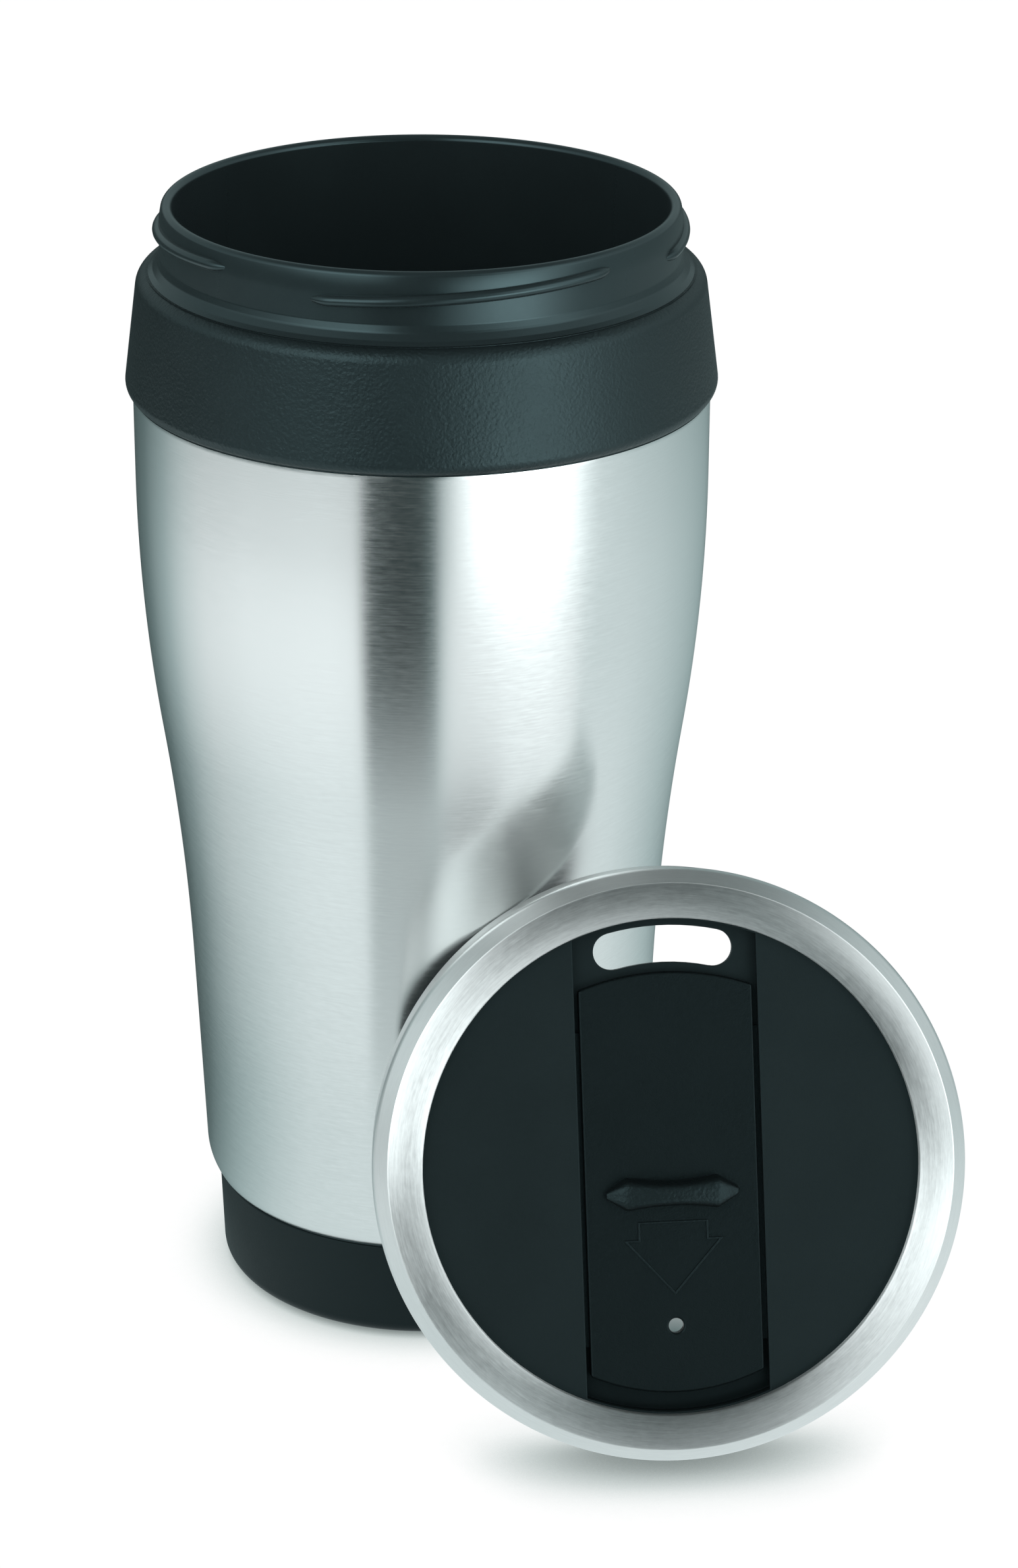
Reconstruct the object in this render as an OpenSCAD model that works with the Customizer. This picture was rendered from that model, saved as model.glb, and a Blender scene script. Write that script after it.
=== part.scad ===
// Insulated travel mug, 0.45 l, with its screw-on slider lid taken off.
// The lid stands on its rim on the table and leans back against the mug.
// Origin: centre of the foot. Mug axis: +Z. Front of the mug: -Y. Units: mm.

/* [Mug] */
// height of the drinking rim above the table
rim_h = 165; // [150:1:190]
// outside radius of the steel shell at its straight top
shell_top_r = 40.94; // [38:0.01:44]
// sheet thickness of the steel shell
shell_wall = 0.6; // [0.4:0.1:1]
// radial distance from the outside of the shell to the outside of the liner
liner_in = 4.4; // [3.4:0.1:6]
// wall thickness of the plastic liner
liner_wall = 1.8; // [1.2:0.1:2.4]
// height of the liner floor inside the cup
floor_h = 12; // [10:0.5:16]
// thickness of the foam sleeve between liner and shell
sleeve_wall = 3.2; // [2:0.1:3.6]

/* [Shell profile] */
// height where the straight lower cone ends
waist_h = 50.4; // [40:0.1:60]
// height where the outline turns from hollow to bulging
inflect_h = 87.5; // [75:0.1:95]
// height where the outline becomes upright
upright_h = 125.7; // [115:0.1:132]
// steepest lean of the outline, degrees
flare_deg = 8.61; // [5:0.01:11]
// lean of the straight lower cone, degrees
cone_deg = 2.57; // [1:0.01:5]
// radius of the rounding at the lower edge of the shell
edge_round = 7.8; // [6:0.1:10]
// height of that rounding
edge_tall = 4; // [3:0.1:5]

/* [Base] */
// outside radius of the base cup
base_r = 31.3; // [30:0.1:32]
// height where the base cup meets the shell
base_top = 15.4; // [14:0.1:17]
// corner radius of the base cup at the table
base_round = 2; // [1:0.1:3]
// radius of the non-slip foot pad
pad_r = 27.5; // [24:0.5:29]

/* [Grip collar] */
// lower edge of the collar
collar_low = 138.2; // [136:0.1:140]
// widest outside radius of the collar, near its lower edge
collar_r = 41.98; // [41.5:0.01:43]
// outside radius of the collar at its top shoulder
collar_top_r = 40.25; // [39.8:0.01:41]

/* [Neck thread] */
// outside radius of the neck
neck_r = 36.7; // [36.2:0.1:37]
// crest radius of the four thread ridges
ridge_r = 37.6; // [37.4:0.1:37.8]
// angle covered by each ridge, degrees
ridge_span = 68; // [60:1:70]
// rise angle of the ridges, degrees
ridge_rise = 2.5; // [1:0.1:4]
// height of the middle of each ridge
ridge_h = 161.6; // [161:0.1:162]

/* [Lid] */
// widest radius of the steel trim ring, at its shoulder
ring_r = 41.5; // [41.2:0.01:42]
// radius of the trim ring at its lower edge
ring_low_r = 40.95; // [40.8:0.01:41.5]
// sheet thickness of the trim ring
ring_wall = 0.6; // [0.4:0.1:0.8]
// radius where the crown of the brushed band lies
band_mid_r = 37.15; // [36.8:0.01:37.6]
// radius of curvature of the brushed band, across the ring
band_r = 6; // [5.5:0.1:7]
// height of the brushed band's crown above the lid's lower edge
band_h = 14.64; // [14.4:0.01:14.9]
// radius of the crease between brushed band and shoulder
crease_r = 39.4; // [39.2:0.01:39.6]
// rounding of the shoulder
shoulder_r = 1.5; // [1:0.1:2]
// radius of the ring's turned-down inner lip
lip_r = 34.6; // [34.5:0.01:34.9]
// height of the deck around the channel
deck_h = 13.2; // [12.8:0.1:14]
// height of the channel floor
channel_h = 11.2; // [11:0.1:12]
// half width of the channel
channel_x = 12.8; // [12:0.1:14]
// inside radius of the lid skirt
skirt_r = 38.1; // [38:0.1:38.4]

/* [Drink opening and vent] */
// inner radius of the curved drink opening
opening_in_r = 28.2; // [27:0.1:29]
// outer radius of the curved drink opening
opening_out_r = 33.4; // [32:0.1:33.6]
// half angle between the opening's two round ends, degrees
opening_deg = 13.4; // [10:0.1:15]
// distance of the vent hole from the lid axis
vent_y = 22.4; // [20:0.1:24]
// radius of the vent hole in the slider
vent_r = 1.05; // [0.8:0.05:1.5]

/* [Slider] */
// half width of the slider
slider_x = 12.15; // [11.5:0.05:12.4]
// thickness of the slider plate
slider_t = 1.5; // [1.2:0.1:1.8]
// travel from open to closed
slider_travel = 7.1; // [6.8:0.1:7.1]
// height of the thumb grip above the slider
grip_t = 2.7; // [2:0.1:2.8]

/* [Where the lid stands] */
// how far the lid leans back from upright, degrees
lean_deg = 20.5; // [19:0.1:22]
// how far the lid faces to the right, degrees
face_deg = 3.6; // [0:0.1:5]
// turn of the lid about its own axis, degrees
lid_spin = 0.6; // [-45:0.1:45]
// sideways position of the lid
lid_x = 33.4; // [30:0.1:40]
// distance of the lid in front of the mug axis
lid_y = 44.8; // [44:0.05:60]
// height of the middle of the lid's lower edge
lid_z = 38.22; // [38:0.01:40]

/* [Hidden] */
$fn = 128;
big_fn = 1440;
line_fn = 48;

ref_h = 20;
gap = 0.05;
// section of the trim ring
shoulder_mid_r = ring_r - shoulder_r;
crease_h = band_h - band_r + sqrt(pow(band_r, 2) - pow(crease_r - band_mid_r, 2));
shoulder_h = crease_r + crease_h - shoulder_mid_r - shoulder_r * sqrt(2);
lip_mid_r = lip_r + ring_wall;
// arcs of the shell outline, from the top downwards
upper_arc = (upright_h - inflect_h) / sin(flare_deg);
inflect_r = shell_top_r - upper_arc * (1 - cos(flare_deg));
lower_arc = (inflect_h - waist_h) / (sin(flare_deg) - sin(cone_deg));
waist_r = inflect_r - lower_arc * (cos(cone_deg) - cos(flare_deg));
shell_edge = base_top + 0.6;
edge_top = shell_edge + edge_tall;
edge_mid_r = waist_r - (waist_h - edge_top) * tan(cone_deg) - edge_round * cos(cone_deg);
edge_mid_h = edge_top + edge_round * sin(cone_deg);
neck_in_h = 139.6;
neck_in_r = 39.4;
shell_top_h = 149;
ledge_h = shell_top_h + 0.8;
flange_h = 154.9;
liner_r = shell_top_r - liner_in;
mouth_r = liner_r - liner_wall;
collar_bore = liner_r + 0.2;
rim_round = (neck_r - mouth_r) / 2;
slider_h = channel_h + 0.1;
slider_top = slider_h + slider_t;
groove_x = channel_x + 0.55;
end_r = 34.35;
opening_mid = (opening_in_r + opening_out_r) / 2;
opening_half = (opening_out_r - opening_in_r) / 2;
steel = [0.78, 0.79, 0.79];
black = [0.10, 0.11, 0.11];
grain = [0.14, 0.15, 0.15];
rubber = [0.22, 0.22, 0.23];
foam = [0.93, 0.92, 0.88];

// radius of the straight lower cone at height z
function cone_r(z) = waist_r - (waist_h - z) * tan(cone_deg);

// half section of everything inside the outline moved inwards by d
module inside(d, low, high) {
    intersection() {
        translate([0, low])
            square([60, high - low]);
        union() {
            polygon([[0, -5], [cone_r(-5) - d, -5], [waist_r - d, waist_h], [0, waist_h]]);
            difference() {
                translate([0, waist_h])
                    square([inflect_r - d + 0.5, inflect_h - waist_h]);
                translate([waist_r + lower_arc * cos(cone_deg), waist_h - lower_arc * sin(cone_deg)])
                    circle(r = lower_arc + d, $fn = big_fn);
            }
            intersection() {
                translate([0, inflect_h])
                    square([60, upright_h - inflect_h]);
                translate([shell_top_r - upper_arc, upright_h])
                    circle(r = upper_arc - d, $fn = big_fn);
            }
            translate([0, upright_h])
                square([shell_top_r - d, 60]);
        }
    }
}

// flat ring between two radii
module ring(r_in, r_out, low, high) {
    translate([0, 0, low])
        difference() {
            cylinder(r = r_out, h = high - low);
            translate([0, 0, -1])
                cylinder(r = r_in, h = high - low + 2);
        }
}

// four interrupted thread ridges, each a short tilted arc with round ends
module ridges(r_mid, h_mid, r, span, first) {
    for (i = [0:3])
        translate([0, 0, h_mid])
            rotate([0, 0, first + 90 * i])
                rotate([ridge_rise, 0, 0]) {
                    rotate([0, 0, -span / 2])
                        rotate_extrude(angle = span)
                            translate([r_mid, 0])
                                circle(r = r, $fn = 32);
                    for (s = [-1, 1])
                        rotate([0, 0, s * span / 2])
                            translate([r_mid, 0, 0])
                                sphere(r = r - 0.06, $fn = 32);
                }
}

// moulded cup with threaded neck, shoulder flange and screw boss
module liner() {
    color(black)
    difference() {
        union() {
            rotate_extrude()
                difference() {
                    union() {
                        inside(liner_in, floor_h + 6, flange_h + 0.1);
                        translate([0, floor_h - liner_wall])
                            square([20.8, 8]);
                        translate([20.8, floor_h + 6])
                            circle(r = 6 + liner_wall, $fn = 96);
                        polygon([[0, flange_h], [38.5, flange_h], [38.4, flange_h + 0.7],
                                 [37.85, flange_h + 1.2], [37.1, flange_h + 2],
                                 [neck_r, flange_h + 3], [0, flange_h + 3]]);
                        translate([0, flange_h + 3])
                            square([neck_r, rim_h - rim_round - flange_h - 3]);
                        translate([neck_r - rim_round, rim_h - rim_round])
                            circle(r = rim_round, $fn = 48);
                    }
                    union() {
                        inside(liner_in + liner_wall, floor_h + 6, rim_h - rim_round);
                        translate([-1, floor_h])
                            square([21.8, 8]);
                        translate([20.8, floor_h + 6])
                            circle(r = 6, $fn = 96);
                        translate([0, rim_h - rim_round - 1])
                            square([mouth_r, 1]);
                        translate([0, rim_h - rim_round - 0.1])
                            square([mouth_r - 0.001, rim_round]);
                    }
                    translate([-60, -5])
                        square([60, 200]);
                }
            cylinder_at(5, 4.55, floor_h - 0.5);
            ridges(ridge_r - 0.8, ridge_h, 0.8, ridge_span, -80);
        }
        cylinder_at(1.75, 4, 10.7);
    }
}

module cylinder_at(r, low, high) {
    translate([0, 0, low])
        cylinder(r = r, h = high - low, $fn = line_fn);
}

// grained soft-grip band, clamped between the liner flange and the shell
module grip_collar() {
    color(grain)
    rotate_extrude()
        difference() {
            union() {
                polygon([[36, collar_low + 1.7], [collar_r, collar_low + 1.7],
                         [collar_top_r, 153.1], [36, 153.1]]);
                translate([collar_r - 1.7, collar_low + 1.7])
                    circle(r = 1.7, $fn = 64);
                translate([collar_top_r - 2.4, 153.1])
                    circle(r = 2.4, $fn = 64);
            }
            polygon([[0, 130], [shell_top_r + 0.06, 130], [shell_top_r + 0.06, neck_in_h + 0.1],
                     [neck_in_r + gap, neck_in_h + 2.1], [neck_in_r + gap, ledge_h], [0, ledge_h]]);
            square([collar_bore, 200]);
            translate([0, flange_h - gap])
                square([38.62, 10]);
        }
}

// flat ring seal on the top edge of the shell
module collar_seal() {
    color(rubber)
    ring(collar_bore + 0.3, neck_in_r - 0.1, shell_top_h + 0.03, ledge_h - 0.03);
}

// half section of the rounded lower end of the shell, moved inwards by d
module rounded_end(d) {
    intersection() {
        translate([0, shell_edge + d])
            square([60, edge_tall - d]);
        union() {
            translate([edge_mid_r, edge_mid_h])
                circle(r = norm([edge_round * cos(cone_deg) - d, edge_round * sin(cone_deg)]), $fn = 360);
            square([edge_mid_r, edge_top]);
        }
    }
}

// brushed steel sleeve, necked in at the top and turned in at the bottom
module outer_shell() {
    color(steel)
    rotate_extrude()
        difference() {
            union() {
                inside(0, edge_top, neck_in_h);
                rounded_end(0);
                polygon([[0, neck_in_h - 0.2], [shell_top_r, neck_in_h - 0.2],
                         [shell_top_r, neck_in_h], [neck_in_r, neck_in_h + 2],
                         [neck_in_r, shell_top_h], [0, shell_top_h]]);
            }
            inside(shell_wall, edge_top, neck_in_h - 0.2);
            rounded_end(shell_wall);
            polygon([[0, neck_in_h - 0.4], [shell_top_r - shell_wall, neck_in_h - 0.4],
                     [neck_in_r - shell_wall, neck_in_h + 1.7],
                     [neck_in_r - shell_wall, shell_top_h + 1], [0, shell_top_h + 1]]);
            square([29.98, 60]);
        }
}

// foam wrapped round the liner
module insulation_sleeve() {
    color(foam)
    rotate_extrude()
        difference() {
            inside(liner_in - gap - sleeve_wall, 18.4, 138);
            inside(liner_in - gap, 18, 139);
        }
}

// flat ring seal under the turned-in edge of the shell
module base_seal() {
    color(rubber)
    ring(30.0, 31.05, base_top + 0.03, shell_edge - 0.03);
}

// moulded base: outer wall, floor, screw seat, socket for the boss and spigot
module base_cup() {
    color(black)
    difference() {
        union() {
            rotate_extrude()
                difference() {
                    union() {
                        translate([0, 0.4])
                            square([base_r - base_round, 6]);
                        translate([base_r - base_round, 0.4 + base_round])
                            circle(r = base_round, $fn = 64);
                        translate([0, 0.4 + base_round])
                            square([base_r, base_top - 0.4 - base_round]);
                        translate([0, base_top - 1])
                            square([29.9, 3.6]);
                    }
                    translate([0, 4.5])
                        square([29, 30]);
                    translate([-60, -5])
                        square([60, 60]);
                }
            ring(5.1, 6.4, 4.4, 7.4);
            for (a = [0:60:300])
                rotate([0, 0, a])
                    translate([6.2, -0.7, 4.4])
                        cube([23.4, 1.4, 3]);
        }
        cylinder_at(pad_r + 0.1, -1, 1.7);
        cylinder_at(3.9, 1, 3.6);
        cylinder_at(2.1, 1, 5);
    }
}

// pan-head screw that clamps base, shell and collar against the liner flange
module base_screw() {
    color(steel)
    difference() {
        union() {
            cylinder_at(3.6, 1.85, 3.55);
            cylinder_at(1.7, 3.5, 10.4);
        }
        for (a = [0, 90])
            rotate([0, 0, a])
                translate([-2, -0.45, 1])
                    cube([4, 0.9, 1.8]);
    }
}

// non-slip pad in the underside, hides the screw
module foot_pad() {
    color(rubber)
    rotate_extrude()
        difference() {
            union() {
                square([pad_r - 0.5, 1.65]);
                translate([0, 0.5])
                    square([pad_r, 1.15]);
                translate([pad_r - 0.5, 0.5])
                    circle(r = 0.5, $fn = 32);
            }
            translate([-60, -5])
                square([60, 60]);
        }
}

// carries a lid piece from its own axis to the place where the lid stands
module lid_place() {
    translate([lid_x, -lid_y, lid_z])
        rotate([0, 0, face_deg])
            rotate([90 - lean_deg, 0, 0])
                rotate([0, 0, lid_spin])
                    children();
}

// half section of the trim ring's outside from height low up, moved inwards by d
module ring_outline(d, low) {
    reach = (shoulder_r - d) * sin(45);
    intersection() {
        union() {
            polygon([[0, low], [ring_low_r - 0.3 - d, low], [ring_low_r - d, 0.5],
                     [ring_r - d, shoulder_h], [shoulder_mid_r + reach, shoulder_h + reach],
                     [shoulder_mid_r + reach - 6, shoulder_h + reach + 6],
                     [0, shoulder_h + reach + 6]]);
            translate([shoulder_mid_r, shoulder_h])
                circle(r = shoulder_r - d, $fn = 96);
        }
        union() {
            translate([band_mid_r, band_h - band_r])
                circle(r = band_r - d, $fn = 96);
            translate([0, -5])
                square([50, band_h - band_r + 5]);
        }
    }
}

// brushed steel trim: upright wall, shoulder, crease, crowned band and inner lip
module lid_ring() {
    lip_mid_h = band_h - band_r + sqrt(pow(band_r - ring_wall, 2) - pow(band_mid_r - lip_mid_r, 2));
    color(steel)
    lid_place()
    rotate_extrude() {
        difference() {
            ring_outline(0, 0.2);
            ring_outline(ring_wall, -1);
            square([lip_mid_r, 30]);
        }
        intersection() {
            union() {
                translate([lip_mid_r, lip_mid_h])
                    circle(r = ring_wall, $fn = 48);
                translate([lip_r, deck_h + 0.06])
                    square([ring_wall, lip_mid_h - deck_h - 0.06]);
            }
            translate([lip_r - 1, deck_h + 0.06])
                square([ring_wall + 1, 5]);
        }
    }
}

// lid moulding: skirt, deck, sunk channel, grooves, openings and thread lugs
module lid_body() {
    color(black)
    lid_place()
    difference() {
        union() {
            rotate_extrude() {
                difference() {
                    union() {
                        ring_outline(ring_wall + gap, 0);
                        square([36, deck_h]);
                    }
                    translate([0, -1])
                        square([skirt_r, 11]);
                    translate([0, deck_h])
                        square([lip_mid_r + gap, 5]);
                }
                translate([33.7, 9.2])
                    square([0.8, 1.3]);
            }
            ridges(skirt_r - 0.3, 4.1, 0.8, 16, -35);
        }
        intersection() {
            translate([0, 0, channel_h])
                cylinder(r = end_r, h = 5);
            union() {
                translate([-channel_x, -40, channel_h])
                    cube([2 * channel_x, 80, 5]);
                translate([-groove_x, -40, channel_h])
                    cube([2 * groove_x, 80, 0.9]);
            }
        }
        drink_opening(8, 14);
        translate([0, -vent_y, 8])
            cylinder(r = vent_r + 0.25, h = 6, $fn = line_fn);
    }
}

// curved slot with round ends
module drink_opening(low, high) {
    translate([0, 0, low])
        intersection() {
            ring(opening_in_r, opening_out_r, 0, high - low);
            linear_extrude(height = high - low)
                polygon([[0, 0], [-60 * sin(opening_deg), 60 * cos(opening_deg)],
                         [60 * sin(opening_deg), 60 * cos(opening_deg)]]);
        }
    for (s = [-1, 1])
        rotate([0, 0, s * opening_deg])
            translate([0, opening_mid, low])
                cylinder(r = opening_half - 0.02, h = high - low, $fn = 64);
}

// silicone ring that seals on the drinking rim, with two sealing beads
module lid_gasket() {
    color(rubber)
    lid_place()
    rotate_extrude() {
        translate([34.55, 9.05])
            square([skirt_r - 34.6, 0.9]);
        translate([35.3, 9.1])
            circle(r = 0.3, $fn = 32);
        translate([36.2, 9.1])
            circle(r = 0.3, $fn = 32);
    }
}

// outline of the slider plate
module slider_plan() {
    intersection() {
        translate([-slider_x, -40])
            square([2 * slider_x, 80]);
        translate([0, -7.2])
            circle(r = 34.2, $fn = 360);
        translate([0, -3.34])
            circle(r = 31, $fn = 360);
        union() {
            translate([0, -3.34])
                circle(r = 28.4, $fn = 360);
            translate([-40, -3.34])
                square([80, 60]);
        }
    }
}

// sliding shutter with side tongues, thumb grip, arrow and vent hole
module slider() {
    color(grain)
    lid_place()
    difference() {
        union() {
            translate([0, 0, slider_h])
                linear_extrude(height = slider_t)
                    slider_plan();
            translate([-channel_x - 0.4, -25, slider_h])
                cube([2 * channel_x + 0.8, 44, 0.65]);
            thumb_grip();
            translate([0, 0, slider_top - 0.1])
                linear_extrude(height = 0.3)
                    arrow();
        }
        translate([0, -vent_y, slider_h - 1])
            cylinder(r = vent_r, h = 5, $fn = line_fn);
        translate([0, 0, slider_h - 1])
            linear_extrude(height = 1.55)
                seal_plan(0);
    }
}

// raised arrow outline that shows the opening direction
module arrow() {
    difference() {
        polygon([[-4.9, -7.7], [4.9, -7.7], [4.9, -10.2], [7, -10.2],
                 [0, -17.25], [-7, -10.2], [-4.9, -10.2]]);
        polygon([[-4.6, -8], [4.6, -8], [4.6, -10.5], [6.28, -10.5],
                 [0, -16.82], [-6.28, -10.5], [-4.6, -10.5]]);
    }
}

// waisted bar with pointed ends and a crowned top
module thumb_grip() {
    translate([0, -3.65, slider_top - 0.2])
        intersection() {
            difference() {
                linear_extrude(height = grip_t + 0.2)
                    polygon([[-9.2, 0], [-6.3, 2.15], [6.3, 2.15], [9.2, 0],
                             [6.3, -2.15], [-6.3, -2.15]]);
                for (s = [-1, 1])
                    translate([0, s * (1.55 + 33.4), -1])
                        cylinder(r = 33.4, h = 6, $fn = 360);
            }
            translate([0, 0, grip_t + 0.2 - 3.1])
                rotate([0, 90, 0])
                    cylinder(r = 3.1, h = 30, center = true, $fn = 96);
            translate([0, 0, grip_t + 0.2 - 26])
                rotate([90, 0, 0])
                    cylinder(r = 26, h = 30, center = true, $fn = 360);
        }
}

// plan of the seal pad, made smaller by d
module seal_plan(d) {
    intersection() {
        translate([-11 + d, 10])
            square([22 - 2 * d, 30]);
        difference() {
            translate([0, -slider_travel])
                circle(r = 33.75 - d, $fn = 360);
            translate([0, -slider_travel])
                circle(r = 27.4 + d, $fn = 360);
        }
    }
}

// silicone pad under the slider that covers the drink opening
module slider_seal() {
    color(rubber)
    lid_place()
    translate([0, 0, channel_h + 0.05])
        linear_extrude(height = 0.55)
            seal_plan(0.05);
}

liner();
grip_collar();
collar_seal();
outer_shell();
insulation_sleeve();
base_seal();
base_cup();
base_screw();
foot_pad();
lid_ring();
lid_body();
lid_gasket();
slider();
slider_seal();
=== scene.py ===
"""Insulated travel mug with its slider lid leaning against it: looks, light and camera."""
import math

import bmesh
import bpy
from mathutils import Matrix, Vector

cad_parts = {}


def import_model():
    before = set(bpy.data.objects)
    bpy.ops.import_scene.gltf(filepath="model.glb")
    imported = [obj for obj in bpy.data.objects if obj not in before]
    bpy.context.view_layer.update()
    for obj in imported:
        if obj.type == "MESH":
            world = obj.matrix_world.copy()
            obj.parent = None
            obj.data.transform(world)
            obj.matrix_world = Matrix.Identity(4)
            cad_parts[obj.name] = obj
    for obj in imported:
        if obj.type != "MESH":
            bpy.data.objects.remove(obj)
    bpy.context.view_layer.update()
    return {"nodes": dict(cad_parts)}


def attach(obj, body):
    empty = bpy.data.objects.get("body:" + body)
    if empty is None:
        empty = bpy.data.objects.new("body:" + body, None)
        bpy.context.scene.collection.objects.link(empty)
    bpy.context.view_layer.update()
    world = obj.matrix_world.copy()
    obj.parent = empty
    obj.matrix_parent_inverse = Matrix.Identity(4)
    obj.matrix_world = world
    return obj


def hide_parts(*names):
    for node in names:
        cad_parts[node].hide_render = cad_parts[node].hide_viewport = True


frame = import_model()
nodes = frame["nodes"]
MM = 0.001

# ---------------------------------------------------------------- dimensions (mm, as in the CAD)
TOP_R, LINER_IN, LINER_WALL = 40.94, 4.4, 1.8
WAIST, INFLECT, UPRIGHT = 50.4, 87.5, 125.7
FLARE, CONE = math.radians(8.61), math.radians(2.57)
UPPER = (UPRIGHT - INFLECT) / math.sin(FLARE)
INFLECT_R = TOP_R - UPPER * (1 - math.cos(FLARE))
LOWER = (INFLECT - WAIST) / (math.sin(FLARE) - math.sin(CONE))
WAIST_R = INFLECT_R - LOWER * (math.cos(CONE) - math.cos(FLARE))
FACE, LEAN, SPIN = math.radians(3.6), math.radians(20.5), math.radians(0.6)
LID_AT = Vector((33.4, -44.8, 38.22)) * MM
LID = (Matrix.Translation(LID_AT) @ Matrix.Rotation(FACE, 4, "Z")
       @ Matrix.Rotation(math.pi / 2 - LEAN, 4, "X") @ Matrix.Rotation(SPIN, 4, "Z"))


def wall_r(z):
    """Outside radius of the steel shell at height z."""
    if z <= WAIST:
        return WAIST_R - (WAIST - z) * math.tan(CONE)
    if z <= INFLECT:
        s = math.sin(CONE) + (z - WAIST) / LOWER
        return WAIST_R + LOWER * (math.cos(CONE) - math.sqrt(1 - s * s))
    if z <= UPRIGHT:
        s = (UPRIGHT - z) / UPPER
        return TOP_R - UPPER * (1 - math.sqrt(1 - s * s))
    return TOP_R


def wall(z0, z1, inset=0.0, step=2.0):
    """Points along the shell's outline between two heights, moved inwards by inset."""
    n = max(2, int(abs(z1 - z0) / step))
    zs = [z0 + (z1 - z0) * i / n for i in range(n + 1)]
    return [(wall_r(z) - inset, z) for z in zs]


def arc(centre, a0, a1, n, inset=0.0):
    """Points on a circle (r, z, radius) between two angles in degrees, moved inwards by inset."""
    r, z, rad = centre
    steps = [math.radians(a0 + (a1 - a0) * k / n) for k in range(n + 1)]
    return [(r + (rad - inset) * math.cos(t), z + (rad - inset) * math.sin(t)) for t in steps]


def rounded(corners, seg=8):
    """A closed outline with each corner (r, z, radius) replaced by an arc."""
    out = []
    n = len(corners)
    for i, c in enumerate(corners):
        p = Vector(c[:2])
        rad = c[2] if len(c) > 2 else 0
        if rad <= 0:
            out.append((p.x, p.y))
            continue
        a = (Vector(corners[i - 1][:2]) - p).normalized()
        b = (Vector(corners[(i + 1) % n][:2]) - p).normalized()
        half = math.acos(max(-1, min(1, a.dot(b)))) / 2
        if half > math.pi / 2 - 0.01:
            out.append((p.x, p.y))
            continue
        d = rad / math.tan(half)
        centre = p + (a + b).normalized() * rad / math.sin(half)
        u, v = p + a * d - centre, p + b * d - centre
        sweep = u.angle_signed(v)
        for k in range(seg + 1):
            w = Vector((u.x, u.y))
            w.rotate(Matrix.Rotation(-sweep * k / seg, 2))
            out.append((centre.x + w.x, centre.y + w.y))
    return out


def new_object(name, bm, place=None, smooth=True):
    """An object made from a bmesh, with its faces turned outwards."""
    mesh = bpy.data.meshes.new(name)
    bmesh.ops.recalc_face_normals(bm, faces=bm.faces)
    bm.to_mesh(mesh)
    bm.free()
    for p in mesh.polygons:
        p.use_smooth = smooth
    obj = bpy.data.objects.new(name, mesh)
    bpy.context.scene.collection.objects.link(obj)
    if place is not None:
        obj.matrix_world = place
    return obj


def spin(bm, outline, seg=288):
    """A closed outline (r, z in mm) turned about Z into a solid of revolution."""
    rings = []
    for r, z in outline:
        if r < 1e-4:
            rings.append([bm.verts.new((0, 0, z * MM))])
        else:
            rings.append([bm.verts.new((r * MM * math.cos(2 * math.pi * k / seg),
                                        r * MM * math.sin(2 * math.pi * k / seg), z * MM))
                          for k in range(seg)])
    n = len(rings)
    for i in range(n):
        a, b = rings[i], rings[(i + 1) % n]
        if len(a) == 1 and len(b) == 1:
            continue
        for k in range(seg):
            m = (k + 1) % seg
            if len(a) == 1:
                bm.faces.new((a[0], b[k], b[m]))
            elif len(b) == 1:
                bm.faces.new((a[k], b[0], a[m]))
            else:
                bm.faces.new((a[k], b[k], b[m], a[m]))


def turned(name, outline, place=None, seg=288):
    """A turned object with clean shading on both sides of its sharp edges."""
    bm = bmesh.new()
    spin(bm, outline, seg)
    obj = new_object(name, bm, place)
    mod = obj.modifiers.new("normals", "WEIGHTED_NORMAL")
    mod.keep_sharp = True
    obj.data.set_sharp_from_angle(angle=math.radians(38))
    return obj


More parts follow.
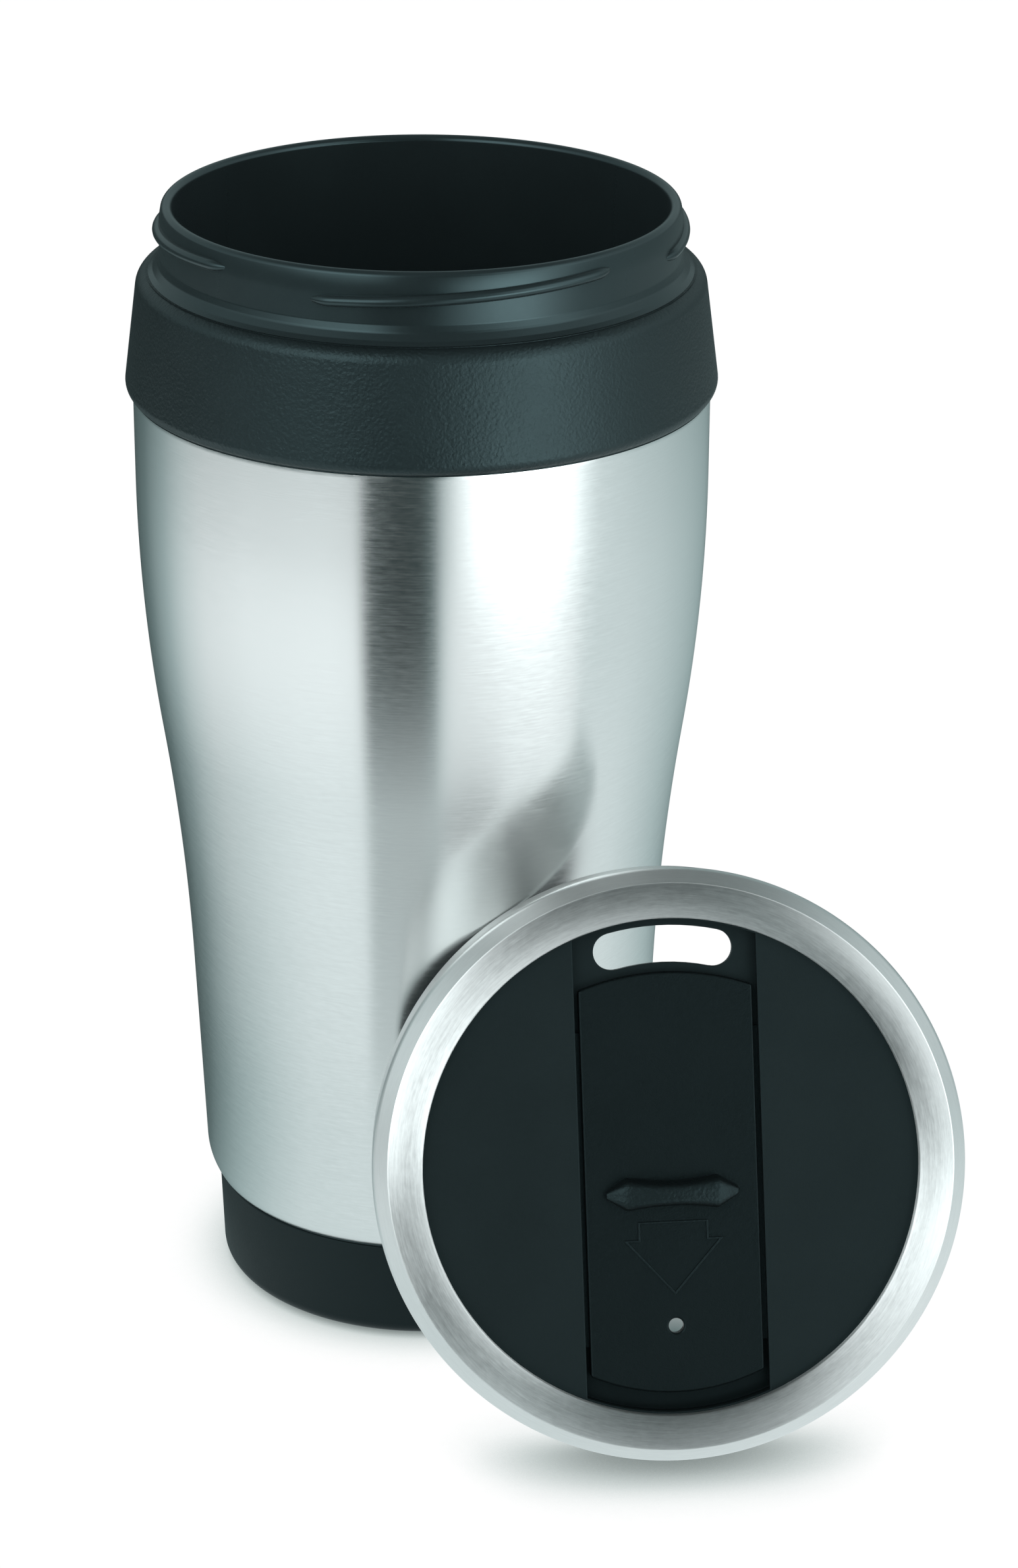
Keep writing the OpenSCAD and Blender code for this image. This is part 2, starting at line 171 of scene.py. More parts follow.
# ---------------------------------------------------------------- node helpers
class Mat:
    """Small helper that adds nodes to one tree and links them."""

    def __init__(self, name, tree=None):
        if tree is not None:
            self.nt = tree
            self.nt.nodes.clear()
            return
        self.mat = bpy.data.materials.new(name)
        self.mat.use_nodes = True
        self.nt = self.mat.node_tree
        self.nt.nodes.clear()
        self.out = self.nt.nodes.new("ShaderNodeOutputMaterial")
        self.bsdf = self.nt.nodes.new("ShaderNodeBsdfPrincipled")
        self.nt.links.new(self.bsdf.outputs[0], self.out.inputs[0])

    def node(self, kind, inputs=None, **props):
        n = self.nt.nodes.new("ShaderNode" + kind)
        for k, v in props.items():
            setattr(n, k, v)
        for k, v in (inputs or {}).items():
            self.put(n, k, v)
        return n

    def put(self, n, key, value):
        sock = n.inputs[key]
        if isinstance(value, bpy.types.NodeSocket):
            self.nt.links.new(value, sock)
        else:
            sock.default_value = value

    def math(self, op, a, b=0.0, c=0.0):
        n = self.node("Math", operation=op)
        for i, v in enumerate((a, b, c)):
            self.put(n, i, v)
        return n.outputs[0]

    def around(self, ux, uy, z, along, across):
        """Coordinates stretched round the axis, for scratches that follow the brushing."""
        n = self.node("CombineXYZ")
        self.put(n, 0, self.math("MULTIPLY", ux, along))
        self.put(n, 1, self.math("MULTIPLY", uy, along))
        self.put(n, 2, self.math("MULTIPLY", z, across))
        return n.outputs[0]

    def distance(self, vec, point):
        """Distance of the shaded place from a fixed point, in metres."""
        return self.node("VectorMath", {0: vec, 1: point}, operation="DISTANCE").outputs["Value"]

    def coords(self):
        return self.node("TexCoord").outputs["Object"]

    def noise(self, vec, scale, detail=2.0, rough=0.5, w=None):
        n = self.node("TexNoise", noise_dimensions="4D" if w is not None else "3D")
        self.put(n, "Vector", vec)
        self.put(n, "Scale", scale)
        self.put(n, "Detail", detail)
        self.put(n, "Roughness", rough)
        if w is not None:
            self.put(n, "W", w)
        return n.outputs[0]

    def ramp(self, fac, stops):
        n = self.node("ValToRGB")
        el = n.color_ramp.elements
        while len(el) < len(stops):
            el.new(0.5)
        for e, (p, c) in zip(el, stops):
            e.position = p
            e.color = c if len(c) == 4 else (*c, 1)
        self.put(n, "Fac", fac)
        return n.outputs[0]

    def span(self, value, lo, hi, to_lo=0.0, to_hi=1.0):
        n = self.node("MapRange", clamp=True)
        for k, v in zip((0, 1, 2, 3, 4), (value, lo, hi, to_lo, to_hi)):
            self.put(n, k, v)
        return n.outputs[0]

    def mix(self, fac, a, b):
        n = self.node("Mix", data_type="RGBA")
        self.put(n, 0, fac)
        self.put(n, 6, a)
        self.put(n, 7, b)
        return n.outputs[2]

    def mix_value(self, fac, a, b):
        n = self.node("Mix", data_type="FLOAT")
        self.put(n, 0, fac)
        self.put(n, 2, a)
        self.put(n, 3, b)
        return n.outputs[0]

    def bump(self, height, strength, distance, normal=None):
        n = self.node("Bump")
        self.put(n, "Height", height)
        self.put(n, "Strength", strength)
        self.put(n, "Distance", distance)
        if normal is not None:
            self.put(n, "Normal", normal)
        return n.outputs[0]

    def edge(self, radius):
        return self.node("Bevel", {"Radius": radius}, samples=6).outputs[0]


def brushed(name, tint, rough, aniso, streak, crease=None):
    """Steel brushed round its own axis: fine scratches, slow tone drift and stretched highlights."""
    m = Mat(name)
    xyz = m.node("SeparateXYZ", {0: m.coords()})
    x, y, z = xyz.outputs
    r = m.math("SQRT", m.math("ADD", m.math("MULTIPLY", x, x), m.math("MULTIPLY", y, y)))
    ux = m.math("DIVIDE", x, r)
    uy = m.math("DIVIDE", y, r)
    fine = m.around(ux, uy, z, 9.0, 5200.0)
    mid = m.around(ux, uy, z, 26.0, 2300.0)
    wr = m.math("MULTIPLY", r, 5200.0 if crease else 300.0)
    wm = m.math("MULTIPLY", r, 2300.0 if crease else 200.0)
    a = m.noise(fine, 1.0, 3.0, 0.65, w=wr)
    b = m.noise(mid, 1.0, 2.0, 0.6, w=wm)
    drift = m.noise(m.coords(), 26.0, 2.0)
    grain = m.math("ADD", m.math("MULTIPLY", a, 0.6), m.math("MULTIPLY", b, 0.4))
    inner = 1.0
    if crease:
        inner = m.span(r, (crease - 0.08) * MM, (crease + 0.08) * MM, 1.0, 0.0)
        grain = m.mix_value(inner, m.span(grain, 0, 1, 0.4, 0.6), grain)
    tone = m.math("ADD", m.span(grain, 0.25, 0.75, 1 - streak, 1 + streak * 0.5),
                  m.span(drift, 0.3, 0.7, -0.02, 0.02))
    grey = m.node("CombineXYZ", {0: tone, 1: tone, 2: tone}).outputs[0]
    rgb = m.node("VectorMath", {0: tint[:3], 1: grey}, operation="MULTIPLY").outputs[0]
    m.put(m.bsdf, "Base Color", rgb)
    m.put(m.bsdf, "Metallic", 1.0)
    gloss = m.math("ADD", m.span(grain, 0.3, 0.7, rough - 0.04, rough + 0.05),
                   m.span(drift, 0.3, 0.7, -0.015, 0.015))
    m.put(m.bsdf, "Roughness", m.mix_value(inner, 0.42, gloss) if crease else gloss)
    m.put(m.bsdf, "Anisotropic", m.math("MULTIPLY", inner, aniso) if crease else aniso)
    m.put(m.bsdf, "Anisotropic Rotation", 0.25)
    m.put(m.bsdf, "Tangent", m.node("Tangent", direction_type="RADIAL", axis="Z").outputs[0])
    m.put(m.bsdf, "Normal", m.bump(grain, 0.12 if crease else 0.35, 0.000012))
    return m.mat


def plastic(name, tone, rough, grain=None, edge=0.0, sheen=0.0, specular=0.5, tint=(0.65, 1.0, 1.06),
            sunk_shade=None):
    """Moulded plastic: mottled tone, optional surface grain and rounded edges.

    sunk gives two heights in the lid (m). Surfaces below them get a painted shade, nearly black, but only in
    the lower part of the leaning lid.
    """
    m = Mat(name)
    vec = m.coords()
    cloud = m.noise(vec, 90.0, 3.0)
    speck = m.noise(vec, 2600.0, 2.0)
    dark = tuple(tone * 0.88 * c for c in tint) + (1,)
    light = tuple(tone * 1.12 * c for c in tint) + (1,)
    m.put(m.bsdf, "Specular Tint", tint + (1,))
    mottle = m.math("ADD", m.math("MULTIPLY", cloud, 0.6), m.math("MULTIPLY", speck, 0.4))
    shade = m.mix(mottle, dark, light)
    # painted shade: below the two heights, in the lower part of the leaning lid, the colour goes nearly
    # black
    if sunk_shade:
        up = LID.to_3x3() @ Vector((0, 0, 1))
        rise = m.node("VectorMath", {0: vec, 1: up}, operation="DOT_PRODUCT").outputs["Value"]
        rise = m.span(m.math("SUBTRACT", rise, LID_AT.dot(up)), *sunk_shade)
        above_table = m.span(m.node("SeparateXYZ", {0: vec}).outputs[2], 0.035, 0.060)
        shade = m.mix(m.math("MAXIMUM", rise, above_table), (0.002, 0.003, 0.0032, 1), shade)
    m.put(m.bsdf, "Base Color", shade)
    m.put(m.bsdf, "Roughness", m.math("ADD", m.span(cloud, 0.3, 0.7, rough - 0.03, rough + 0.03),
                                      m.span(speck, 0.3, 0.7, -0.02, 0.02)))
    m.put(m.bsdf, "Specular IOR Level", specular)
    m.put(m.bsdf, "Sheen Weight", sheen)
    normal = m.edge(edge) if edge else None
    if grain == "leather":
        swirl = m.node("TexNoise", {"Vector": vec, "Scale": 900.0}).outputs["Color"]
        shift = m.node("VectorMath", {0: swirl, "Scale": 0.0007}, operation="SCALE").outputs[0]
        warp = m.node("VectorMath", {0: vec, 1: shift}, operation="ADD").outputs[0]
        cell = m.node("TexVoronoi", {"Vector": warp, "Scale": 1900.0, "Smoothness": 0.6},
                      feature="SMOOTH_F1").outputs[0]
        fold = m.noise(vec, 2400.0, 3.0, 0.6)
        h = m.math("SUBTRACT", m.math("MULTIPLY", fold, 0.9), m.math("MULTIPLY", cell, 0.6))
        normal = m.bump(h, 0.5, 0.00014, normal)
    elif grain == "spark":
        broad = m.math("MULTIPLY", m.noise(vec, 1500.0, 2.0), 0.6)
        h = m.math("ADD", m.noise(vec, 3600.0, 3.0, 0.7), broad)
        normal = m.bump(h, 0.5, 0.0001, normal)
    elif grain == "fine":
        normal = m.bump(m.noise(vec, 4200.0, 2.0, 0.6), 0.22, 0.00005, normal)
    if normal:
        m.put(m.bsdf, "Normal", normal)
    return m.mat


def dress(obj, mat):
    """Gives an object one material."""
    obj.data.materials.clear()
    obj.data.materials.append(mat)


STEEL = (0.80, 0.82, 0.815, 1)
m_shell = brushed("steel_shell", STEEL, 0.20, 0.82, 0.07)
m_ring = brushed("steel_ring", STEEL, 0.36, 0.98, 0.30, crease=39.42)
m_liner = plastic("plastic_smooth", 0.022, 0.22, specular=0.45)
m_grip = plastic("grip_leather", 0.0115, 0.40, "leather", specular=0.46)
m_base = plastic("plastic_base", 0.014, 0.50, "fine", specular=0.16)
# the disc's low deck gets a painted shade in the lower part of the leaning lid
m_disc = plastic("plastic_disc", 0.014, 0.42, "fine", specular=0.20, edge=0.00025, sunk_shade=(0.0113, 0.0131))
m_slide = plastic("slider_spark", 0.0038, 0.40, "spark", specular=0.22)
m_thumb = plastic("thumb_leather", 0.0055, 0.42, "leather", specular=0.32)
m_soft = plastic("silicone_soft", 0.02, 0.55, "fine", sheen=0.2)
m_zinc = brushed("zinc_plate", (0.70, 0.71, 0.68, 1), 0.35, 0.3, 0.12)
m_foam = plastic("foam_cells", 0.72, 0.8, "spark", tint=(1.03, 1.0, 0.93))

# ---------------------------------------------------------------- mug pieces
EDGE_R, EDGE_TOP = 7.8, 20.0
edge_r = wall_r(EDGE_TOP) - EDGE_R * math.cos(CONE)
edge_z = EDGE_TOP + EDGE_R * math.sin(CONE)


def lower_edge(inset, z0, n=9):
    """The rounded lower end of the shell, from height z0 up to the straight wall."""
    rad = EDGE_R - inset
    zs = [z0 + (EDGE_TOP - z0) * k / n for k in range(n)]
    return [(edge_r + math.sqrt(rad ** 2 - (edge_z - z) ** 2), z) for z in zs]


tip = lower_edge(0, 16.0)[0][0]
shell_line = ([(29.98, 16.0), (tip - 0.3, 16.0), (tip - 0.08, 16.06)] + lower_edge(0, 16.25)
              + wall(EDGE_TOP, 139.6) + [(39.4, 141.6), (39.4, 149.0), (38.8, 149.0), (38.8, 141.3)]
              + wall(139.2, EDGE_TOP, 0.6, 4.0) + lower_edge(0.6, 16.6)[::-1] + [(29.98, 16.6)])
shell = turned("shell_skin", shell_line)
dress(shell, m_shell)
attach(shell, "mug")
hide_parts("outer_shell")

collar_line = rounded([(41.0, 138.22, 0.12), (42.2, 138.2, 1.6), (39.93, 155.55, 2.3),
                       (38.62, 155.5, 0.08), (38.62, 154.85), (36.75, 154.85), (36.75, 149.8),
                       (39.45, 149.8), (39.45, 141.7), (41.0, 139.7)], 12)
collar = turned("collar_band", collar_line)
dress(collar, m_grip)
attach(collar, "mug")
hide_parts("grip_collar")

cup_line = rounded([(0, 1.7), (27.6, 1.7, 0.2), (27.6, 0.4, 0.2), (30.75, 0.4, 2.2), (31.3, 15.4, 0.25),
                    (29.9, 15.4), (29.9, 18.0), (29.0, 18.0), (29.0, 4.5), (0, 4.5)], 8)
cup = turned("base_skin", cup_line, seg=192)
dress(cup, m_base)
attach(cup, "mug")
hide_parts("base_cup")


RIDGE_R, RIDGE_Z, RIDGE_THICK = 36.8, 161.6, 0.8
RIDGE_HALF, RIDGE_FADE, RIDGE_SIDES = 35.5, 6.0, 20
RIDGE_RISE = 37.2 * math.tan(math.radians(2.5))


def ridge(bm, first):
    """One interrupted thread ridge: a rounded rib that rises gently and tapers out at both ends."""
    rows = []
    steps = 64
    for i in range(steps + 1):
        t = -RIDGE_HALF + 2 * RIDGE_HALF * i / steps
        end = min(1, (RIDGE_HALF - abs(t)) / RIDGE_FADE)
        s = max(0.02, math.sin(end * math.pi / 2))
        a = math.radians(first + t)
        mid = RIDGE_R - (1 - s) * 0.75
        zc = RIDGE_Z + RIDGE_RISE * math.radians(t)
        row = []
        for j in range(RIDGE_SIDES):
            k = 2 * math.pi * j / RIDGE_SIDES
            out = mid + RIDGE_THICK * s * math.cos(k)
            up = zc + RIDGE_THICK * s * math.sin(k)
            row.append(bm.verts.new((out * math.cos(a) * MM, out * math.sin(a) * MM, up * MM)))
        rows.append(row)
    for p, q in zip(rows, rows[1:]):
        for j in range(RIDGE_SIDES):
            k = (j + 1) % RIDGE_SIDES
            bm.faces.new((p[j], q[j], q[k], p[k]))
    bm.faces.new(rows[0])
    bm.faces.new(list(reversed(rows[-1])))


NECK_R, NECK_TOP, NECK_CROWN = 36.7, 161.6, 12
RIM = (35.58, 164.16, 0.84)
rim = arc((NECK_R - NECK_CROWN, NECK_TOP, NECK_CROWN), 0, 10.5, 7) + arc(RIM, 14, 180, 14)
BEND = (20.8, 18)
cup_in = arc((*BEND, 6), 0, -90, 8)
cup_out = arc((*BEND, 6 + LINER_WALL), -90, 0, 8)
neck_foot = rounded([(36.54, 150.0), (36.54, 154.9), (38.58, 154.9, 0.05), (38.55, 155.35, 0.15),
                     (37.7, 155.95, 0.6), (36.95, 156.9, 1.0), (NECK_R, 157.9, 0.9), (NECK_R, 161.4)], 6)
liner_line = ([(0, 10.2)] + cup_out + wall(20, 148, LINER_IN) + neck_foot[1:] + rim
              + wall(162, 20, LINER_IN + LINER_WALL) + cup_in + [(0, 12.0)])
bm = bmesh.new()
spin(bm, liner_line)
for k in range(4):
    ridge(bm, -80 + 90 * k)
liner = new_object("liner_skin", bm)
liner.modifiers.new("normals", "WEIGHTED_NORMAL").keep_sharp = True
liner.data.set_sharp_from_angle(angle=math.radians(40))
dress(liner, m_liner)
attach(liner, "mug")
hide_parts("liner")

# ---------------------------------------------------------------- lid pieces
# ring section: crowned band, crease, rounded shoulder and a lip turned in over the disc
SHEET, LIP_R = 0.6, 35.2
CREASE_R, SHOULDER_R, SHOULDER_MID = 39.4, 1.5, 40.0
CROWN = (36.57, 7.2, 7.55)
crease_z = CROWN[1] + math.sqrt(CROWN[2] ** 2 - (CREASE_R - CROWN[0]) ** 2)
SHOULDER = (SHOULDER_MID, crease_z + CREASE_R - SHOULDER_MID - SHOULDER_R * math.sqrt(2), SHOULDER_R)
crease = math.degrees(math.acos((CREASE_R - CROWN[0]) / CROWN[2]))
brink = math.degrees(math.acos((LIP_R - CROWN[0]) / (CROWN[2] - SHEET)))
lip_z = CROWN[1] + (CROWN[2] - SHEET) * math.sin(math.radians(brink))
outside = ([(40.1, 0.2), (40.62, 0.2), (40.8, 0.3), (40.95, 0.55), (41.2, 6.2)]
           + arc(SHOULDER, 0, 45, 8) + [(39.46, 14.14)]
           + arc(CROWN, crease - 1, brink + 1, 40))
lip = arc((34.9, lip_z + 0.24, 0.3), 100, 180, 5) + [(34.6, 13.27), (LIP_R, 13.27)]
inside = (arc(CROWN, brink, crease + 2, 24, SHEET) + arc(SHOULDER, 45, 0, 6, SHEET) + [(40.5, 5.0)])
ring_line = outside + lip + inside
ring = turned("ring_skin", ring_line, LID, 320)
dress(ring, m_ring)
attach(ring, "lid")
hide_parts("lid_ring")

SLIDE_H, SLIDE_T = 11.3, 1.5
TOP = SLIDE_H + SLIDE_T


def arc_xy(cx, cy, r, a0, a1, n):
    """Points on a circle in the lid's own plane, between two angles in degrees."""
    return [(cx + r * math.cos(math.radians(a0 + (a1 - a0) * k / n)),
             cy + r * math.sin(math.radians(a0 + (a1 - a0) * k / n))) for k in range(n + 1)]


def soften(obj, width, segments, angle=None):
    """Rounds an object's edges; with an angle, only those sharper than it."""
    mod = obj.modifiers.new("edges", "BEVEL")
    mod.width = width * MM
    mod.segments = segments
    if angle:
        mod.limit_method = "ANGLE"
        mod.angle_limit = math.radians(angle)


def plate(name, outline, z0, z1, bevel, place):
    """A flat plate with rounded edges, from an outline in the lid's own plane."""
    bm = bmesh.new()
    low = [bm.verts.new((x * MM, y * MM, z0 * MM)) for x, y in outline]
    high = [bm.verts.new((x * MM, y * MM, z1 * MM)) for x, y in outline]
    n = len(outline)
    bm.faces.new(low)
    bm.faces.new(high)
    for i in range(n):
        j = (i + 1) % n
        bm.faces.new((low[i], low[j], high[j], high[i]))
    obj = new_object(name, bm, place)
    obj.data.set_sharp_from_angle(angle=math.radians(35))
    if bevel:
        soften(obj, bevel, 3, 40)
    return obj


def cut(obj, tool):
    """Takes one object's volume out of another."""
    mod = obj.modifiers.new("cut", "BOOLEAN")
    mod.operation = "DIFFERENCE"
    mod.object = tool
    mod.solver = "EXACT"


def bake(obj):
    """Applies the modifiers, so that helper objects can go."""
    dg = bpy.context.evaluated_depsgraph_get()
    mesh = bpy.data.meshes.new_from_object(obj.evaluated_get(dg))
    obj.modifiers.clear()
    obj.data = mesh


def rod(name, x, y, r, z0, z1, place, n=48):
    """A round bar across the lid's plane."""
    return plate(name, arc_xy(x, y, r, 0, 360 - 360 / n, n - 1), z0, z1, 0, place)


SLIDE_HALF, END_TOP_R, END_LOW_R = 12.15, 34.2, 28.4
a_top = math.degrees(math.acos(SLIDE_HALF / END_TOP_R))
a_low = math.degrees(math.acos(SLIDE_HALF / END_LOW_R))
slider_line = (arc_xy(0, -7.2, END_TOP_R, a_top, 180 - a_top, 40)
               + arc_xy(0, -3.34, END_LOW_R, 180 + a_low, 360 - a_low, 36))
slider = plate("shutter_plate", slider_line, SLIDE_H, TOP, 0, LID)
hole = rod("hole_tool", 0, -22.4, 1.05, SLIDE_H - 1, TOP + 1, LID)
cut(slider, hole)
bpy.context.view_layer.update()
bake(slider)
bpy.data.objects.remove(hole)
slider.data.set_sharp_from_angle(angle=math.radians(35))
soften(slider, 0.28, 3, 40)
slider.modifiers.new("normals", "WEIGHTED_NORMAL").keep_sharp = True
dress(slider, m_slide)
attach(slider, "shutter")
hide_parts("slider")

for side, name in ((-1, "tongue_left"), (1, "tongue_right")):
    strip = [(side * 12.0, -25), (side * 13.15, -25), (side * 13.15, 19), (side * 12.0, 19)]
    tongue = plate(name, strip, SLIDE_H + 0.05, SLIDE_H + 0.65, 0.12, LID)
    dress(tongue, m_slide)
    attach(tongue, "shutter")


GRIP_HALF, GRIP_CORNER, GRIP_Y, GRIP_SUNK = 9.2, 6.3, -3.75, 0.15
GRIP_END = GRIP_HALF - GRIP_CORNER


def grip_half_width(along):
    """Half the grip's width: waisted up to the corners, then narrowing to a blunt point."""
    if along < GRIP_CORNER:
        return 1.75 + 0.65 * (along / GRIP_CORNER) ** 2
    return 0.55 + 1.85 * (GRIP_HALF - along) / GRIP_END


def grip_height(along):
    """The grip's height over the slider, falling off towards its ends."""
    if along < GRIP_CORNER:
        return 2.62 - 0.35 * (along / GRIP_CORNER) ** 2
    return 2.27 - 1.3 * ((along - GRIP_CORNER) / GRIP_END) ** 1.3


def grip_piece():
    """Thumb grip: a bar with a waist and blunt pointed ends, crowned both ways."""
    bm = bmesh.new()
    rows = []
    nx = 56
    ny = 16
    for i in range(nx + 1):
        x = GRIP_HALF * math.sin((-1 + 2 * i / nx) * math.pi / 2)
        half = grip_half_width(abs(x))
        rise = grip_height(abs(x)) + GRIP_SUNK
        row = []
        for j in range(ny + 1):
            v = -1 + 2 * j / ny
            y = GRIP_Y + half * math.copysign(abs(v) ** 0.8, v)
            z = TOP - GRIP_SUNK + rise * math.sqrt(1 - v ** 4)
            row.append(bm.verts.new((x * MM, y * MM, z * MM)))
        rows.append(row)
    for p, q in zip(rows, rows[1:]):
        for j in range(ny):
            bm.faces.new((p[j], q[j], q[j + 1], p[j + 1]))
        bm.faces.new((p[0], p[-1], q[-1], q[0]))
    bm.faces.new(rows[0])
    bm.faces.new(list(reversed(rows[-1])))
    obj = new_object("thumb_grip", bm, LID)
    obj.data.set_sharp_from_angle(angle=math.radians(60))
    return obj


thumb = grip_piece()
dress(thumb, m_thumb)
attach(thumb, "shutter")

outer = [(-4.9, -7.7), (4.9, -7.7), (4.9, -10.2), (7, -10.2), (0, -18.0), (-7, -10.2), (-4.9, -10.2)]
inner = [(-4.65, -7.95), (4.65, -7.95), (4.65, -10.45), (6.4, -10.45), (0, -17.62), (-6.4, -10.45),
         (-4.65, -10.45)]
bm = bmesh.new()
ARROW_LOW, ARROW_HIGH = TOP - 0.05, TOP + 0.2
levels = ((outer, ARROW_LOW), (outer, ARROW_HIGH), (inner, ARROW_HIGH), (inner, ARROW_LOW))
loops = [[bm.verts.new((x * MM, y * MM, z * MM)) for x, y in line] for line, z in levels]
for a, b in zip(loops, loops[1:] + loops[:1]):
    for i in range(len(outer)):
        j = (i + 1) % len(outer)
        bm.faces.new((a[i], a[j], b[j], b[i]))
arrow = new_object("open_arrow", bm, LID, smooth=False)
soften(arrow, 0.06, 2)
dress(arrow, m_thumb)
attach(arrow, "shutter")

# ---------------------------------------------------------------- nodes kept from the CAD
for name, mat in (("lid_body", m_disc), ("lid_gasket", m_soft), ("slider_seal", m_soft),
                  ("collar_seal", m_soft), ("base_seal", m_soft), ("foot_pad", m_soft),
                  ("base_screw", m_zinc), ("insulation_sleeve", m_foam)):
    dress(nodes[name], mat)

# ---------------------------------------------------------------- floor, light and camera
scene = bpy.context.scene
scene.view_settings.view_transform = "Standard"
scene.view_settings.look = "None"

# Brightness of the studio as seen in reflections only, by compass angle (degrees, + to the right of the
# camera): close to the mug, further out on the table, at eye level, and above it. Other light is even.
NEAR = [(-180, 0.03), (-154, 0.06), (-124, 0.15), (-104, 0.31), (-89, 0.46), (-75, 0.59), (-63, 0.70),
        (-50, 0.79), (0, 0.86), (40, 0.92), (60, 0.95), (90, 0.85), (125, 0.52), (154, 0.20),
        (180, 0.05)]
TABLE = [(-180, 0.05), (-160, 0.10), (-141, 0.20), (-122, 0.48), (-107, 0.80), (-94, 0.98), (-70, 1.12),
         (-36, 1.16), (-25, 1.12), (-20.5, 0.05), (-8, 0.03), (0, 0.05), (4, 0.18), (8, 0.85),
         (12, 1.0), (26, 1.02), (50, 1.08), (60, 0.95), (65, 0.80), (86, 0.80), (105, 0.72),
         (125, 0.60), (150, 0.42), (180, 0.05)]
EYE = [(-180, 0.04), (-120, 0.08), (-80, 0.12), (-40, 0.14), (-20, 0.05), (4, 0.06), (10, 0.5),
       (20, 2.5), (32, 4.5), (46, 4.5), (56, 2.6), (70, 0.8), (90, 0.5), (120, 0.3),
       (180, 0.04)]
ABOVE = [(-180, 0.35), (-110, 0.50), (-84, 0.8), (-62, 1.5), (-48, 2.7), (-24, 2.9), (-15, 1.2),
         (-9, 0.05), (18, 0.05), (27, 0.5), (36, 1.2), (46, 2.0), (64, 2.2), (80, 1.0),
         (120, 0.5), (180, 0.35)]
PEAK = 4.5


def studio_tone(m, x, y, table):
    """Studio brightness in the compass direction x, y; darker tones are cooler."""
    az = m.math("ARCTAN2", x, m.math("MULTIPLY", y, -1.0))
    stops = []
    for angle, value in table:
        level = value / PEAK
        red = level * (0.64 + 0.30 * min(1, value))
        stops.append(((angle + 180) / 360, (red, level, level * 1.01)))
    return m.ramp(m.span(az, -math.pi, math.pi), stops)


def world():
    """Even white light, with the studio's own brightness where a glossy surface mirrors it."""
    w = bpy.data.worlds.new("studio")
    scene.world = w
    w.use_nodes = True
    m = Mat("studio", w.node_tree)
    out = m.node("OutputWorld")
    xyz = m.node("SeparateXYZ", {0: m.node("TexCoord").outputs["Generated"]}).outputs
    level = studio_tone(m, xyz[0], xyz[1], EYE)
    above = studio_tone(m, xyz[0], xyz[1], ABOVE)
    tone = m.mix(m.span(xyz[2], 0.02, 0.17), level, above)
    tone = m.mix(m.span(xyz[2], 0.6, 0.85), tone, (0.10 / PEAK, 0.12 / PEAK, 0.12 / PEAK, 1))
    seen = m.node("Background", {"Color": tone, "Strength": PEAK})
    even = m.node("Background", {"Color": (1.0, 1.0, 1.0, 1), "Strength": 1.06})
    path = m.node("LightPath")
    mixed = m.node("MixShader", {0: path.outputs["Is Glossy Ray"], 1: even.outputs[0], 2: seen.outputs[0]})
    m.nt.links.new(mixed.outputs[0], out.inputs[0])


# places on the floor (m) with painted shade, not shade cast by light: the first is a dark patch painted into
# the floor's reflections only, the second a painted shadow under the leaning lid
BEFORE_LID = (0.042, -0.112, 0.0)
BELOW_LID = (0.037, -0.029, 0.0)


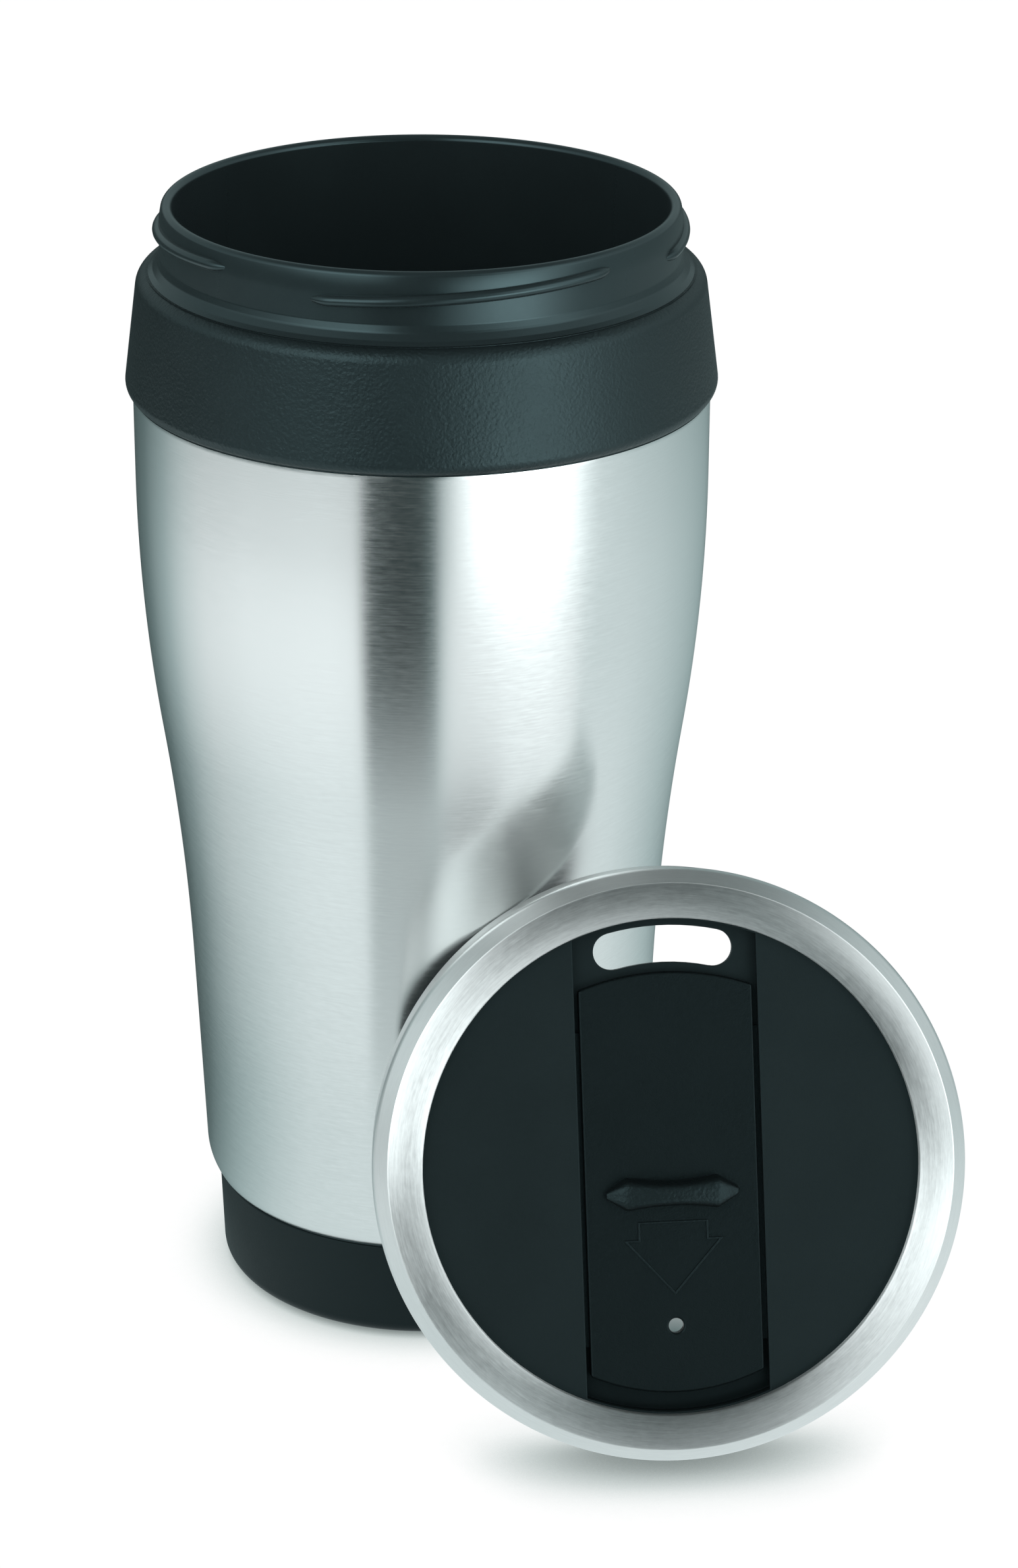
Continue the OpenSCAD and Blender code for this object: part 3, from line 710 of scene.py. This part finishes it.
def floor():
    """Plain paper. Its reflection follows the tables; to the camera it glows, with a painted shadow that is
    darker close to other surfaces and round BELOW_LID.
    """
    bm = bmesh.new()
    bmesh.ops.create_grid(bm, x_segments=8, y_segments=8, size=6.0)
    obj = new_object("floor", bm, Matrix.Translation((0, 0, -0.00005)))
    m = Mat("floor_paper")
    vec = m.coords()
    fibre = m.noise(vec, 700.0, 3.0)
    paper_tone = m.mix(m.span(fibre, 0.3, 0.7), (0.94, 0.945, 0.945, 1), (0.955, 0.96, 0.96, 1))
    m.put(m.bsdf, "Base Color", paper_tone)
    m.put(m.bsdf, "Roughness", 0.9)
    m.put(m.bsdf, "Specular IOR Level", 0.05)
    xyz = m.node("SeparateXYZ", {0: vec}).outputs
    far = m.node("VectorMath", {0: vec}, operation="LENGTH").outputs["Value"]
    near = studio_tone(m, xyz[0], xyz[1], NEAR)
    # painted reflection: a dark patch round BEFORE_LID, seen only where the floor is mirrored
    near = m.mix(m.span(m.distance(vec, BEFORE_LID), 0.026, 0.038), (0.010, 0.014, 0.015, 1), near)
    tone = m.mix(m.span(far, 0.09, 0.24), near, studio_tone(m, xyz[0], xyz[1], TABLE))
    tone = m.mix(m.span(far, 0.42, 0.56), tone, studio_tone(m, xyz[0], xyz[1], EYE))
    seen = m.node("Emission", {"Color": tone, "Strength": PEAK})
    # painted shadow: the camera sees a glowing floor, darkened by a ramp of how close other surfaces are
    close = m.node("AmbientOcclusion", {"Distance": 0.012}, samples=8).outputs["AO"]
    shade = m.ramp(close, [(0.0, (0.16, 0.19, 0.185)), (0.45, (0.56, 0.62, 0.61)),
                           (0.75, (0.90, 0.925, 0.92)), (0.93, (1.0, 1.0, 1.0))])
    # painted shadow under the leaning lid, darkest at BELOW_LID
    shade = m.mix(m.span(m.distance(vec, BELOW_LID), 0.0, 0.028), (0.12, 0.17, 0.17, 1), shade)
    fibred = m.mix(m.span(fibre, 0.3, 0.7, 0.99, 1.0), (0, 0, 0, 1), shade)
    direct = m.node("Emission", {"Color": fibred, "Strength": 1.02})
    path = m.node("LightPath")
    is_camera = path.outputs["Is Camera Ray"]
    paper = m.node("MixShader", {0: is_camera, 1: m.bsdf.outputs[0], 2: direct.outputs[0]})
    mixed = m.node("MixShader", {0: path.outputs["Is Glossy Ray"], 1: paper.outputs[0], 2: seen.outputs[0]})
    m.nt.links.new(mixed.outputs[0], m.out.inputs[0])
    dress(obj, m.mat)


world()
floor()


LENS, SENSOR = 99.102857, 36
CAMERA_AT = Vector((0, -0.58645, 0.32672))
PITCH, ROLL, YAW = math.radians(23.129), math.radians(0.2676), math.radians(1.2332)


def camera():
    """Looks down at the mug from in front."""
    cam = bpy.data.cameras.new("photo_view")
    obj = bpy.data.objects.new("photo_view", cam)
    scene.collection.objects.link(obj)
    cam.sensor_width = SENSOR
    cam.lens = LENS
    cam.clip_start = 0.01
    cam.clip_end = 20
    level = math.cos(PITCH)
    ahead = Vector((math.sin(YAW) * level, math.cos(YAW) * level, -math.sin(PITCH)))
    right = ahead.cross(Vector((0, 0, 1))).normalized()
    up = right.cross(ahead)
    rolled_right = right * math.cos(ROLL) + up * math.sin(ROLL)
    rolled_up = up * math.cos(ROLL) - right * math.sin(ROLL)
    place = Matrix((rolled_right, rolled_up, -ahead)).transposed().to_4x4()
    place.translation = CAMERA_AT
    obj.matrix_world = place
    scene.camera = obj


camera()
